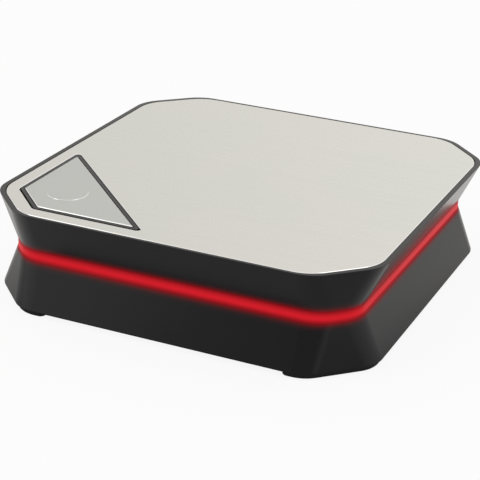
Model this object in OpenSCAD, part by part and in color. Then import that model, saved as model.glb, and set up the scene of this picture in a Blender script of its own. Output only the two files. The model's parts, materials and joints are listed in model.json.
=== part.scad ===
// Desktop video capture box: two flared half shells that meet at a lit waist,
// a metal top plate and one large key in the front left corner.
// Millimetres, +Z up, front towards -Y. The origin is on the table under the middle of the box.

/* [Case] */
// Width of the case across its rim
case_w = 140; // [134:1:170]
// Depth of the case across its rim
case_d = 142.7; // [134:0.1:170]
// Height of the top plate's face above the table
case_h = 36.5; // [35:0.5:46]
// Leg of the corner cut at the rim
rim_cut = 17.5; // [14:0.1:22]
// Radius between the corner cuts and the sides at the rim
rim_r = 13.5; // [8:0.5:20]
// How far the waist steps in from the rim
waist_inset = 7.1; // [5:0.1:8]
// How far the crease under the light band lies below half the case's height
waist_drop = 0.25; // [-0.5:0.05:0.5]
// Leg of the corner cut at the waist
waist_cut = 10; // [9:0.1:13]
// Radius between the corner cuts and the sides at the waist
waist_r = 14; // [8:0.5:15]
// How far the bottom edge steps in from the rim
base_inset = 0.25; // [0.2:0.05:3]
// Leg of the corner cut at the bottom edge
base_cut = 18; // [14:0.1:22]
// Radius between the corner cuts and the sides at the bottom edge
base_r = 12; // [8:0.5:20]

/* [Shells] */
// Thickness of the side walls
wall = 2; // [1.6:0.1:2.4]
// Thickness of the base shell's floor
floor_t = 2; // [1.6:0.1:3]
// Thickness of the deck that carries the top plate
deck_t = 2; // [1.5:0.1:3]
// Rounding of the bottom edge
edge_round = 0.6; // [0.2:0.1:1.5]
// Rounding of the rim's outer edge
rim_round = 0.12; // [0.1:0.02:0.8]
// How far the rim stays below the top plate's face
rim_drop = 0.04; // [0:0.02:0.4]
// Length of a cooling slot in the floor
vent_l = 26; // [12:1:34]
// Width of a cooling slot
vent_w = 2.2; // [1.5:0.1:3]
// Step from one cooling slot to the next
vent_step = 5.4; // [4:0.1:8]
// Number of cooling slots
vent_count = 9; // [3:2:11]

/* [Light band] */
// Height of the band that shows
band_h = 3; // [2:0.1:4]
// Thickness of the lip behind the band
lip_t = 1.2; // [0.8:0.1:1.6]
// How far the lip reaches past the band, up and down
lip_reach = 1.2; // [0.6:0.1:1.4]
// Gap between the lip and the shells
lip_gap = 0.1; // [0.05:0.05:0.2]
// Width of a light
led_w = 2; // [1.6:0.1:2.2]
// Height of a light
led_h = 1.6; // [1:0.1:1.8]
// Depth of a light
led_t = 0.8; // [0.6:0.1:1.2]
// Step from one light to the next
led_step = 13; // [8:0.5:18]
// Solder between a light and its strip
solder_t = 0.05; // [0.02:0.01:0.1]
// Thickness of the circuit strip that carries the lights
strip_t = 0.3; // [0.2:0.05:0.4]
// Width of the strip's tail
tail_w = 4; // [3:0.5:6]
// Place of the tail along the right side
tail_y = 10; // [-10:1:20]

/* [Top plate] */
// Thickness of the plate
plate_t = 1; // [0.8:0.1:1.5]
// Thickness of the adhesive sheet under the plate
tape_t = 0.2; // [0.1:0.05:0.4]
// Width of the rim beside the plate at the left and right
rim_side = 2.05; // [1.6:0.05:3]
// Width of the rim beside the plate at the front and back
rim_front = 1.35; // [1.2:0.05:3]
// Leg of the plate's corner cut
plate_cut = 16.9; // [13:0.1:20]
// Radius between the plate's corner cuts and its sides
plate_r = 14; // [8:0.5:18]
// Groove between the plate and the rim
plate_gap = 0.25; // [0.1:0.05:0.5]

/* [Key] */
// Strip of plate left outside the key's opening at the left and at the corner cut
key_margin = 4.9; // [4:0.1:8]
// Strip of plate left in front of the key's opening
key_front = 5.3; // [4:0.1:8]
// Distance from the opening's corner cut to its long side
key_span = 29.1; // [24:0.1:32]
// Radius of the opening's two sharp corners
key_r = 1.2; // [0.8:0.1:2]
// Radius of the opening's two blunt corners
key_blunt_r = 2.6; // [1.5:0.1:4]
// Gap between the plate and the black collar
collar_gap = 0.45; // [0.1:0.05:0.6]
// Thickness of the collar round the key
collar_t = 1.2; // [1:0.1:2]
// How far the collar's top stays below the plate's face
collar_drop = 0; // [0:0.05:0.4]
// How far the collar guides the key below the deck
collar_reach = 4; // [2.5:0.1:5]
// Gap between the collar and the key
key_gap = 0.25; // [0.2:0.05:0.6]
// How far the key stands above the plate's face
key_proud = 0.3; // [0.1:0.05:0.8]
// Travel of the key when it is pressed
key_travel = 1; // [0.4:0.1:1.2]
// Thickness of the key's metal cap
cap_t = 0.6; // [0.5:0.05:1]
// Polished bevel round the cap's face
cap_bevel = 0.25; // [0.2:0.05:0.4]
// Radius of the raised thumb pad
thumb_r = 7; // [4:0.5:9]
// Height of the thumb pad above the key's face
thumb_rise = 0.2; // [0.15:0.05:0.4]
// Polished bevel round the thumb pad
thumb_bevel = 0.15; // [0.1:0.05:0.15]
// Thickness of the carrier's top and flange
carrier_t = 1.5; // [1:0.1:2]
// Wall of the carrier's skirt
skirt_t = 1.3; // [1:0.1:1.6]
// How far the carrier's flange reaches under the collar
flange_reach = 1.2; // [0.8:0.1:1.6]
// Gap between the flange and the collar at rest
stop_gap = 0.1; // [0.05:0.05:0.2]
// Radius of the carrier's push post
post_r = 2.2; // [1.8:0.1:3]

/* [Key board] */
// Distance from the deck's underside to the key board
key_board_drop = 9.3; // [9:0.1:10]
// Thickness of both circuit boards
board_t = 1.6; // [1:0.1:2]
// Half width of the key board
key_board_hw = 12; // [11:0.5:13]
// Board behind the key's long side
key_board_out = 9; // [8:0.5:12]
// Board in front of the switch
key_board_in = 4.5; // [3.5:0.1:6]
// Side of the switch's square body
switch_w = 6; // [5:0.1:7]
// Height of the switch's body
switch_h = 3.5; // [3.2:0.1:4]
// Radius of the switch's plunger
plunger_r = 1.7; // [1.2:0.1:2]
// Length of the plunger inside the body at rest
plunger_in = 1.3; // [1:0.1:1.4]
// Room under the plunger when the key is down
plunger_room = 0.2; // [0.1:0.1:0.4]
// Room between the push post and the switch's body when the key is down
post_room = 0.5; // [0.3:0.1:0.8]
// Running gap round the plunger
plunger_gap = 0.15; // [0.1:0.05:0.2]
// Gap between the plunger and the key's push post
push_gap = 0.05; // [0.02:0.01:0.1]
// Radius of the column that backs the key board
column_r = 3; // [2:0.1:4]
// Distance of the key board's posts from the key's long side
stand_out = 4.4; // [4:0.1:5]
// Distance of those posts from the key's middle line
stand_side = 8.5; // [8:0.1:9]

/* [Feet] */
// Height of the case's underside above the table
foot_rise = 1.8; // [1.2:0.1:2.6]
// Depth of the pockets that hold the feet
foot_sink = 0.8; // [0.5:0.1:1.2]
// Width of a foot
foot_w = 7; // [4:0.5:9]
// Distance of a foot from the bottom edge
foot_in = 1.5; // [1.2:0.1:4]
// How far a foot runs on past the corner cut
foot_wrap = 8.5; // [5:0.5:14]
// Radius of a foot's ends
foot_r = 2; // [0.5:0.1:2.4]
// Gap round a foot in its pocket
foot_gap = 0.1; // [0.05:0.05:0.3]

/* [Main board] */
// Height of the posts that carry the main board
stand_h = 2.6; // [2:0.1:3.2]
// Radius of those posts
stand_r = 3; // [2.4:0.1:3.5]
// Corner cut at the front of the main board
board_cut = 24; // [16:1:30]
// Distance of the board's screws from its edges
board_screw_in = 4.5; // [4:0.1:6]
// Distance of the rear board screws from the board's back edge
board_screw_back = 27; // [24:1:32]
// Gap between the main board and its neighbours
board_gap = 0.4; // [0.2:0.1:1]

/* [Fasteners] */
// Distance of the case screws from the waist's outer face
boss_in = 9.4; // [9.2:0.1:11]
// Distance of the corner case screws from the waist's front and back
boss_end = 20.4; // [18:0.2:24]
// Distance of the two case screws beside the key from the key's tips
boss_tip = 9.5; // [9:0.1:12]
// Radius of the base shell's screw bosses
boss_r = 4; // [3.8:0.1:4.2]
// Radius of the upper shell's screw bosses
upper_boss_r = 3.6; // [3:0.1:4]
// Height at which the two bosses meet
boss_z = 12; // [10:0.1:14]
// Radius of a case screw's shank
screw_r = 1.5; // [1.2:0.1:1.7]
// Length of a case screw's shank
screw_l = 14; // [12:0.5:18]
// Radius of a case screw's head
head_r = 2.8; // [2.4:0.1:3]
// Height of a case screw's head
head_h = 2; // [1.5:0.1:2.4]
// Depth of a case screw's seat above the case's underside
seat_depth = 3.2; // [2.8:0.1:4]
// Radius of a board screw's shank
small_screw_r = 1.1; // [0.9:0.1:1.3]
// Length of a board screw's shank
small_screw_l = 3.8; // [3:0.1:4]
// Radius of a board screw's head
small_head_r = 2.2; // [2:0.1:2.4]
// Height of a board screw's head
small_head_h = 1.5; // [1.2:0.1:2]
// Gap round a shank in its thread
thread_gap = 0.05; // [0.03:0.01:0.1]
// Gap round a screw in a clearance hole
screw_gap = 0.3; // [0.2:0.05:0.4]

/* [Connector panel] */
// Thickness of the connector panel
panel_t = 1.4; // [1:0.1:1.5]
// Panel left beside the outer sockets
panel_margin = 3; // [2:0.1:4]
// How far the panel's ends sit in their slots
panel_grip = 1.5; // [1:0.1:2]
// Gap round the panel in its slots and round the sockets in the panel
panel_gap = 0.1; // [0.05:0.05:0.2]
// Wall round the panel's slots
cheek_t = 2.4; // [1.6:0.1:3]
// Gap from one socket to the next
socket_step = 6; // [4:0.1:7]

/* [Sockets] */
// Width of a digital video socket
video_w = 15; // [14:0.1:16]
// Height of a digital video socket
video_h = 5.6; // [5.4:0.1:6.4]
// Depth of a digital video socket
video_l = 11; // [10:0.1:13]
// Width of the data socket
data_w = 7.7; // [7:0.1:9]
// Height of the data socket
data_h = 3.9; // [3.6:0.1:5]
// Depth of the data socket
data_l = 9.2; // [8:0.1:11]
// Sheet metal of the video and data sockets
sheet_t = 0.4; // [0.3:0.05:0.5]
// Block that closes the back of the video and data sockets
plug_t = 2; // [1.5:0.1:3]
// Thickness of the contact tongues
tongue_t = 1; // [0.7:0.1:1.2]
// Width of a contact tongue as a share of its socket's width
tongue_share = 0.7; // [0.6:0.05:0.8]
// Cut at the lower corners of a mouth as a share of its height
mouth_cut = 0.3; // [0.2:0.05:0.4]
// How far the tongues stay behind the mouths
tongue_in = 1.6; // [1:0.1:2.5]
// Width of the power jack
power_w = 9; // [8:0.1:10]
// Height of the power jack
power_h = 7; // [6.8:0.1:7.4]
// Depth of the power jack
power_l = 13.3; // [12:0.1:15]
// Radius of the power jack's bore
power_r = 2.8; // [2.6:0.05:3]
// Depth of the power jack's bore
power_depth = 9.5; // [8:0.1:11]
// Radius of the power jack's centre pin
pin_r = 1; // [0.6:0.05:1.3]
// Width of the audio jack
audio_w = 7; // [6.4:0.1:8]
// Height of the audio jack
audio_h = 6; // [5.6:0.1:7]
// Depth of the audio jack
audio_l = 14; // [13:0.1:16]
// Radius of the audio jack's nose
nose_r = 2.9; // [2.5:0.05:3]
// Radius of the audio jack's bore
audio_r = 1.8; // [1.75:0.01:1.9]
// Depth of the audio jack's bore
audio_depth = 12.5; // [11:0.1:13]

/* [Chips] */
// Least gap between the parts on the main board
chip_gap = 2; // [1.5:0.1:3]
// Side of the video encoder chip
encoder_w = 23; // [19:1:27]
// Thickness of the encoder chip
encoder_t = 2; // [1.4:0.1:2.6]
// Thickness of the heat pad
pad_t = 0.8; // [0.5:0.1:1.5]
// Side of the heat sink
sink_w = 34; // [28:1:36]
// Thickness of the heat sink's base
sink_base = 3; // [2:0.1:4]
// Height of the heat sink's fins
fin_h = 8; // [4:0.5:9]
// Thickness of a fin
fin_t = 1.2; // [0.8:0.1:1.6]
// Number of fins
fin_count = 9; // [5:1:9]
// Side of the video receiver chip
receiver_w = 12; // [10:1:14]
// Side of the video output chip
output_w = 9; // [7:1:12]
// Side of the sound converter chip
sound_w = 6; // [5:1:7]
// Side of the data bridge chip
bridge_w = 8; // [6:1:9]
// Thickness of the smaller chips
chip_t = 1.2; // [0.8:0.1:1.8]
// Width of a memory chip
memory_w = 9; // [7:0.5:10]
// Length of a memory chip
memory_l = 12.5; // [10:0.5:14]
// Width of the program store chip
flash_w = 6; // [4:0.5:8]
// Side of a power inductor
coil_w = 6.5; // [5:0.5:7]
// Height of a power inductor
coil_h = 4; // [2.5:0.1:5]
// Radius of an electrolytic capacitor
can_r = 3.15; // [2.5:0.05:4]
// Height of an electrolytic capacitor
can_h = 7.7; // [5:0.1:10]
// Length of a clock crystal
crystal_l = 5; // [3.2:0.1:7]
// Width of a clock crystal
crystal_w = 3.2; // [2.5:0.1:4]
// Length of a ribbon socket
ribbon_socket_l = 9; // [8:0.5:11]
// Depth of a ribbon socket
ribbon_socket_w = 4; // [3:0.1:4.5]
// Height of a ribbon socket
ribbon_socket_h = 1.8; // [1.4:0.1:2.4]
// Width of the key's ribbon cable
ribbon_w = 6; // [4:0.5:7]
// Thickness of the ribbon cable
ribbon_t = 0.3; // [0.2:0.05:0.4]
// Radius of the ribbon cable's bends
ribbon_bend = 1.5; // [1:0.1:2]

/* [Hidden] */
$fn = 48;

// Straight pieces of each rounded corner, and the least radius of an inner corner
arc_steps = 8;
least_r = 0.3;
// A cut runs this far past the face that it opens
past = 1;

black = [0.13, 0.13, 0.135];
silver = [0.8, 0.8, 0.77];
red = [0.82, 0.11, 0.14];
board_green = [0.1, 0.32, 0.18];
chip_grey = [0.2, 0.2, 0.22];
nickel = [0.72, 0.72, 0.7];

// Outlines of the case: half width, half depth, corner cut, corner radius
rim = [case_w / 2, case_d / 2, rim_cut, rim_r];
waist = [case_w / 2 - waist_inset, case_d / 2 - waist_inset, waist_cut, waist_r];
base_edge = [case_w / 2 - base_inset, case_d / 2 - base_inset, base_cut, base_r];
plate = [case_w / 2 - rim_side, case_d / 2 - rim_front, plate_cut, plate_r];

// Levels, from the table up
floor_top = foot_rise + floor_t;
rim_top = case_h - rim_drop;
flare_top = rim_top - rim_round;
deck_top = case_h - plate_t - tape_t;
deck_under = deck_top - deck_t;
board_under = floor_top + stand_h;
board_top = board_under + board_t;
// The waist stays above the tallest socket
waist_z = max(case_h / 2 - waist_drop, board_top + power_h + lip_reach + board_gap);
band_top = waist_z + band_h;

// Insets from the waist's outer face
lip_outer = wall + lip_gap;
lip_inner = lip_outer + lip_t;
strip_outer = lip_inner + led_t + solder_t;
strip_inner = strip_outer + strip_t;

// Connector panel and main board
panel_back = waist[1] - wall;
panel_face = panel_back + panel_t;
cheek_front = panel_back - cheek_t;
socket_widths = [power_w, audio_w, video_w, video_w, data_w];
socket_count = len(socket_widths);
sockets_w = sum_first(socket_widths, socket_count) + (socket_count - 1) * socket_step;
notch_hw = sockets_w / 2 + panel_margin;
boss_x = waist[0] - boss_in;
boss_y = waist[1] - boss_in;
board_hw = boss_x - boss_r - board_gap;
board_front = -(boss_y - boss_r - board_gap);
board_back = panel_back - board_gap;
board_mid = (board_front + board_back) / 2;
board_back_cut = board_hw - notch_hw + board_gap + board_back - cheek_front;
power_x = socket_x(0);
audio_x = socket_x(1);
video_in_x = socket_x(2);
video_out_x = socket_x(3);
data_x = socket_x(4);

// Key: the four edges of its opening, its middle line and its levels
root2 = sqrt(2);
key_left = -(plate[0] - key_margin);
key_near = -(plate[1] - key_front);
key_corner = -(plate[0] + plate[1] - plate_cut) + key_margin * root2;
key_tip_y = key_corner + key_span * root2 - key_left;
key_tip_x = key_corner + key_span * root2 - key_near;
key_mid = [(key_left + key_corner - key_near) / 2, (key_corner - key_left + key_near) / 2];
well_inset = collar_gap + collar_t;
cap_inset = well_inset + key_gap;
cap_top = case_h + key_proud;
cap_under = cap_top - cap_t;
collar_under = deck_under - collar_reach;
flange_top = collar_under - stop_gap;
flange_under = flange_top - carrier_t;
key_board_top = deck_under - key_board_drop;
key_board_under = key_board_top - board_t;
switch_u = key_span / 2;
switch_top = key_board_top + switch_h;
switch_floor = switch_top - plunger_in - key_travel - plunger_room;
plunger_top = switch_top + key_travel + post_room;
stand_u = key_span + stand_out;
ribbon_u = stand_u - ribbon_socket_w / 2;
ribbon_out = key_span + key_board_out + 2 * ribbon_bend;
ribbon_end = ribbon_out + 4 * ribbon_bend;
ribbon_z = ribbon_socket_h / 2;

// Rows of chips: in front of the sockets, and beside the heat sink
chip_row = board_back - max(video_l, power_l, audio_l) - receiver_w / 2;
side_row = sink_w / 2 + chip_gap + memory_w / 2;

// Screws: the two beside the key keep clear of its tips
corner_y = waist[1] - boss_end;
boss_spots = [
    [boss_x, corner_y], [-boss_x, corner_y], [boss_x, -corner_y],
    [-boss_x, key_tip_y + boss_tip], [key_tip_x + boss_tip, -boss_y]
];
board_spots = [
    for (side = [-1, 1], y = [board_front + board_cut + board_screw_in, board_back - board_screw_back])
        [side * (board_hw - board_screw_in), y]
];

// Sum of the first n numbers of a list
function sum_first(list, n) = n == 0 ? 0 : list[n - 1] + sum_first(list, n - 1);

// Middle of a socket along the panel, counted from the left as seen from the front
function socket_x(i) =
    -sockets_w / 2 + sum_first(socket_widths, i) + i * socket_step + socket_widths[i] / 2;

function unit(v) = v / norm(v);

// Outline moved inwards by d on every side
function shrink(s, d) = [s[0] - d, s[1] - d, s[2] - d * (2 - root2), max(s[3] - d, least_r)];

// Outlines of the flared walls at height z
function base_at(z) = base_edge + (waist - base_edge) * (z - foot_rise) / (waist_z - foot_rise);
function upper_at(z) = waist + (rim - waist) * (z - band_top) / (flare_top - band_top);

// Arc that rounds the corner p between its neighbours; the corner itself where r is 0
function corner_arc(before, p, after, r) =
    r == 0 ? [p] :
    let (
        back = unit(before - p),
        ahead = unit(after - p),
        half = acos(back * ahead) / 2,
        centre = p + unit(back + ahead) * r / sin(half),
        first = p + back * r / tan(half) - centre,
        last = p + ahead * r / tan(half) - centre,
        start = atan2(first[1], first[0]),
        turn = (atan2(last[1], last[0]) - start + 540) % 360 - 180
    )
    [for (k = [0 : arc_steps]) let (a = start + turn * k / arc_steps) centre + r * [cos(a), sin(a)]];

// Closed outline with rounded corners; radii is one number, or one for each corner
function rounded(corners, radii) =
    let (n = len(corners))
    [for (i = [0 : n - 1])
        each corner_arc(
            corners[(i + n - 1) % n], corners[i], corners[(i + 1) % n], is_list(radii) ? radii[i] : radii)];

// Rectangle with 45 degree corner cuts and rounded corners
function octagon(s) =
    let (x = s[0], y = s[1], cut = s[2])
    rounded([
        [x, cut - y], [x, y - cut], [x - cut, y], [cut - x, y],
        [-x, y - cut], [-x, cut - y], [cut - x, -y], [x - cut, -y]
    ], s[3]);

// The key's opening moved inwards by d
function key_outline(d) =
    let (
        x = key_left + d,
        y = key_near + d,
        low = key_corner + d * root2,
        high = key_corner + (key_span - d) * root2,
        blunt = max(key_blunt_r - d, least_r),
        sharp = max(key_r - d / 2, least_r)
    )
    rounded([[x, low - x], [low - y, y], [high - y, y], [x, high - x]], [blunt, blunt, sharp, sharp]);

// A foot in the rear right corner, grown by extra on every side
function foot_outline(extra) =
    let (
        outer = shrink(base_edge, foot_in - extra),
        inner = shrink(base_edge, foot_in + foot_w + extra),
        end_x = base_edge[0] - base_cut - foot_wrap - extra,
        end_y = base_edge[1] - base_cut - foot_wrap - extra
    )
    rounded([
        [outer[0], end_y], [outer[0], outer[1] - outer[2]], [outer[0] - outer[2], outer[1]],
        [end_x, outer[1]], [end_x, inner[1]],
        [inner[0] - inner[2], inner[1]], [inner[0], inner[1] - inner[2]], [inner[0], end_y]
    ], [foot_r, outer[3], outer[3], foot_r, foot_r, inner[3], inner[3], foot_r]);

// Upright slab of an outline
module slab(points, low, high) {
    translate([0, 0, low]) linear_extrude(high - low) polygon(points);
}

// Solid through a list of [height, outline]
module loft(levels) {
    n = len(levels[0][1]);
    top = len(levels) - 1;
    points = [for (level = levels) for (p = level[1]) [p[0], p[1], level[0]]];
    sides = [
        for (k = [0 : top - 1], i = [0 : n - 1])
            let (a = k * n + i, b = k * n + (i + 1) % n)
            each [[a, a + n, b], [b, a + n, b + n]]
    ];
    under = [for (i = [0 : n - 1]) i];
    over = [for (i = [n - 1 : -1 : 0]) top * n + i];
    polyhedron(points, concat([under, over], sides));
}

// Box with its middle at x, y and its underside at z
module block(x, y, z, size) {
    translate([x - size[0] / 2, y - size[1] / 2, z]) cube(size);
}

// Upright rod
module rod(x, y, low, high, r) {
    translate([x, y, low]) cylinder(h = high - low, r = r);
}

// Rod along Y from the panel's face inwards
module rear_rod(x, z, from, to, r) {
    translate([x, from, z]) rotate([-90, 0, 0]) cylinder(h = to - from, r = r);
}

// The key's own frame: x from its corner cut towards the middle of the case
module at_key() {
    translate([key_mid[0], key_mid[1], 0]) rotate(45) children();
}

// Screw with its head above z and its shank below, and a cross recess in the head
module screw(z, head, head_high, shank, length) {
    recess = 1.2 * head;
    slot = 0.25 * head;
    recess_floor = z + head_high / 2;
    difference() {
        union() {
            rod(0, 0, z, z + head_high, head);
            rod(0, 0, z - length, recess_floor, shank);
        }
        block(0, 0, recess_floor, [recess, slot, head_high]);
        block(0, 0, recess_floor, [slot, recess, head_high]);
    }
}

module vent_slots() {
    for (k = [0 : vent_count - 1])
        translate([(k - (vent_count - 1) / 2) * vent_step, board_mid, foot_rise - past]) {
            block(0, 0, 0, [vent_w, vent_l - vent_w, floor_t + 2 * past]);
            for (end = [-1, 1])
                rod(0, end * (vent_l - vent_w) / 2, 0, floor_t + 2 * past, vent_w / 2);
        }
}

// Lower shell: floor, flared wall, screw bosses, board posts and the recess for the connectors
module base_shell() {
    round_in = edge_round * (1 - sqrt(0.5));
    cheek_hw = notch_hw + panel_grip + cheek_t;
    cheek_top = waist_z - lip_reach - board_gap;
    slot_hw = notch_hw + panel_grip + panel_gap;
    module outside() {
        loft([
            [foot_rise, octagon(shrink(base_edge, edge_round))],
            [foot_rise + round_in, octagon(shrink(base_at(foot_rise + round_in), round_in))],
            [foot_rise + edge_round, octagon(base_at(foot_rise + edge_round))],
            [waist_z, octagon(waist)]
        ]);
    }
    color(black) difference() {
        union() {
            difference() {
                outside();
                loft([
                    [floor_top, octagon(shrink(base_at(floor_top), wall))],
                    [waist_z + past, octagon(shrink(base_at(waist_z + past), wall))]
                ]);
            }
            intersection() {
                outside();
                for (side = [-1, 1])
                    translate([side > 0 ? notch_hw : -cheek_hw, cheek_front, foot_rise])
                        cube([cheek_hw - notch_hw, case_d / 2 - cheek_front, cheek_top - foot_rise]);
            }
            for (p = boss_spots) rod(p[0], p[1], floor_top - floor_t / 2, boss_z, boss_r);
            for (p = board_spots) rod(p[0], p[1], floor_top - floor_t / 2, board_under, stand_r);
            at_key() rod(switch_u, 0, floor_top - floor_t / 2, key_board_under, column_r);
        }
        block(0, cheek_front + case_d / 2, floor_top, [2 * notch_hw, case_d, waist_z]);
        block(0, panel_back + panel_t / 2, floor_top, [2 * slot_hw, panel_t + 2 * panel_gap, waist_z]);
        for (p = boss_spots) {
            rod(p[0], p[1], foot_rise - past, foot_rise + seat_depth, head_r + screw_gap);
            rod(p[0], p[1], foot_rise, boss_z + past, screw_r + screw_gap);
        }
        for (p = board_spots)
            rod(p[0], p[1], board_under + board_t - small_screw_l - past / 2, board_under + past,
                small_screw_r + thread_gap);
        for (x = [0, 1], y = [0, 1])
            mirror([x, 0, 0]) mirror([0, y, 0])
                slab(foot_outline(foot_gap), foot_rise - past, foot_rise + foot_sink);
        vent_slots();
    }
}

// Upper shell: flared wall, deck under the plate, collar round the key, bosses and posts
module upper_shell() {
    round_in = rim_round * (1 - sqrt(0.5));
    color(black) difference() {
        union() {
            difference() {
                loft([
                    [band_top, octagon(waist)],
                    [flare_top, octagon(rim)],
                    [rim_top - round_in, octagon(shrink(rim, round_in))],
                    [rim_top, octagon(shrink(rim, rim_round))]
                ]);
                loft([
                    [band_top - past, octagon(shrink(upper_at(band_top - past), wall))],
                    [deck_under, octagon(shrink(upper_at(deck_under), wall))]
                ]);
                slab(octagon(shrink(plate, -plate_gap)), deck_top, rim_top + past);
            }
            slab(key_outline(collar_gap), collar_under, case_h - collar_drop);
            for (p = boss_spots) rod(p[0], p[1], boss_z, deck_under + deck_t / 2, upper_boss_r);
            at_key() for (side = [-1, 1])
                rod(stand_u, side * stand_side, key_board_top, deck_under + deck_t / 2, stand_r);
        }
        slab(key_outline(well_inset), collar_under - past, case_h + past);
        for (p = boss_spots)
            rod(p[0], p[1], boss_z - past, foot_rise + seat_depth + screw_l + past, screw_r + thread_gap);
        at_key() for (side = [-1, 1])
            rod(stand_u, side * stand_side, key_board_top - past,
                key_board_top - board_t + small_screw_l + past / 2, small_screw_r + thread_gap);
    }
}

// Red diffuser clamped between the shells, with a lip behind both walls
module light_band() {
    color(red) difference() {
        union() {
            slab(octagon(waist), waist_z, band_top);
            slab(octagon(shrink(waist, lip_outer)), waist_z - lip_reach, band_top + lip_reach);
        }
        slab(octagon(shrink(waist, lip_inner)), waist_z - lip_reach - past, band_top + lip_reach + past);
    }
}

module top_plate() {
    color(silver) difference() {
        slab(octagon(plate), case_h - plate_t, case_h);
        slab(key_outline(0), case_h - plate_t - past, case_h + past);
    }
}

module plate_adhesive() {
    color("dimgray") difference() {
        slab(octagon(plate), deck_top, deck_top + tape_t);
        slab(key_outline(0), deck_top - past, deck_top + tape_t + past);
    }
}

// Upright panel that the sockets look through, held in slots and under the light band
module rear_panel() {
    module window(x, w, h) {
        block(x, panel_face, board_top - panel_gap, [w + 2 * panel_gap, 4 * panel_t, h + 2 * panel_gap]);
    }
    color(black) difference() {
        block(0, panel_back + panel_t / 2, floor_top,
            [2 * (notch_hw + panel_grip), panel_t, waist_z - floor_top]);
        window(power_x, power_w, power_h);
        window(video_in_x, video_w, video_h);
        window(video_out_x, video_w, video_h);
        window(data_x, data_w, data_h);
        rear_rod(audio_x, board_top + audio_h / 2, panel_back - past, panel_face + past, nose_r + panel_gap);
    }
}

module foot() {
    color([0.09, 0.09, 0.09]) slab(foot_outline(0), 0, foot_rise + foot_sink);
}
module foot_rear_right() { foot(); }
module foot_rear_left() { mirror([1, 0, 0]) foot(); }
module foot_front_right() { mirror([0, 1, 0]) foot(); }
module foot_front_left() { mirror([1, 0, 0]) mirror([0, 1, 0]) foot(); }

// Long screws from below, through the base shell's bosses into the upper shell's
module case_screws() {
    color("gray") for (p = boss_spots)
        translate([p[0], p[1], foot_rise + seat_depth]) mirror([0, 0, 1])
            screw(0, head_r, head_h, screw_r, screw_l);
}

// Metal face of the key, with its polished bevel and raised thumb pad
module key_cap() {
    thumb_top = cap_top + thumb_rise;
    color(silver) {
        loft([
            [cap_under, key_outline(cap_inset)],
            [cap_top - cap_bevel, key_outline(cap_inset)],
            [cap_top, key_outline(cap_inset + cap_bevel)]
        ]);
        at_key() translate([key_span / 2, 0, 0]) {
            rod(0, 0, cap_top - cap_t / 2, thumb_top - thumb_bevel, thumb_r);
            translate([0, 0, thumb_top - thumb_bevel])
                cylinder(h = thumb_bevel, r1 = thumb_r, r2 = thumb_r - thumb_bevel);
        }
    }
}

// Plastic carrier under the cap: guided by the collar, stopped by its flange, with a push post
module key_carrier() {
    color(black) {
        difference() {
            union() {
                slab(key_outline(cap_inset), flange_under, cap_under);
                slab(key_outline(cap_inset - flange_reach), flange_under, flange_top);
            }
            slab(key_outline(cap_inset + skirt_t), flange_under - past, cap_under - carrier_t);
        }
        at_key() rod(switch_u, 0, plunger_top + push_gap, cap_under - carrier_t / 2, post_r);
    }
}

module key_board() {
    far = key_span + key_board_out;
    near = switch_u - key_board_in;
    color(board_green) at_key() difference() {
        block((near + far) / 2, 0, key_board_under, [far - near, 2 * key_board_hw, board_t]);
        for (side = [-1, 1])
            rod(stand_u, side * stand_side, key_board_under - past, key_board_top + past,
                small_screw_r + screw_gap);
    }
}

module key_board_screws() {
    color("gray") at_key() for (side = [-1, 1])
        translate([stand_u, side * stand_side, key_board_under]) mirror([0, 0, 1])
            screw(0, small_head_r, small_head_h, small_screw_r, small_screw_l);
}

module switch_body() {
    color(chip_grey) at_key() difference() {
        block(switch_u, 0, key_board_top, [switch_w, switch_w, switch_h]);
        rod(switch_u, 0, switch_floor, switch_top + past, plunger_r + plunger_gap);
    }
}

module switch_plunger() {
    color("saddlebrown") at_key() rod(switch_u, 0, switch_top - plunger_in, plunger_top, plunger_r);
}

// Flat cable from the key board down to the main board
module ribbon_cable() {
    high = key_board_top + ribbon_z;
    low = board_top + ribbon_z;
    start = ribbon_u + ribbon_socket_w;
    half = ribbon_t / 2;
    outer = ribbon_bend + half;
    inner = ribbon_bend - half;
    color("white") at_key() translate([0, ribbon_w / 2, 0]) rotate([90, 0, 0]) linear_extrude(ribbon_w)
        polygon(rounded([
            [start, high - half], [ribbon_out - half, high - half], [ribbon_out - half, low - half],
            [ribbon_end, low - half], [ribbon_end, low + half], [ribbon_out + half, low + half],
            [ribbon_out + half, high + half], [start, high + half]
        ], [0, inner, outer, 0, 0, inner, outer, 0]));
}

// Sockets for the ribbon cable's two ends and for the light strip's tail
module ribbon_sockets() {
    size = [ribbon_socket_w, ribbon_socket_l, ribbon_socket_h];
    color("ivory") {
        at_key() block(ribbon_u + ribbon_socket_w / 2, 0, key_board_top, size);
        at_key() block(ribbon_end + ribbon_socket_w / 2, 0, board_top, size);
        block(board_hw - ribbon_socket_w, tail_y, board_top, size);
    }
}

// Circuit strip behind the light band, with a tail down to the main board
module light_strip() {
    tail_z = board_top + ribbon_z;
    tail_start = board_hw - ribbon_socket_w / 2;
    tail_end = waist[0] - strip_outer;
    color("goldenrod") {
        difference() {
            slab(octagon(shrink(waist, strip_outer)), waist_z, band_top);
            slab(octagon(shrink(waist, strip_inner)), waist_z - past, band_top + past);
        }
        translate([tail_start, tail_y - tail_w / 2, tail_z]) cube([tail_end - tail_start, tail_w, strip_t]);
        translate([tail_end - strip_t, tail_y - tail_w / 2, tail_z])
            cube([strip_t, tail_w, waist_z + band_h / 2 - tail_z]);
    }
}

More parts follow.
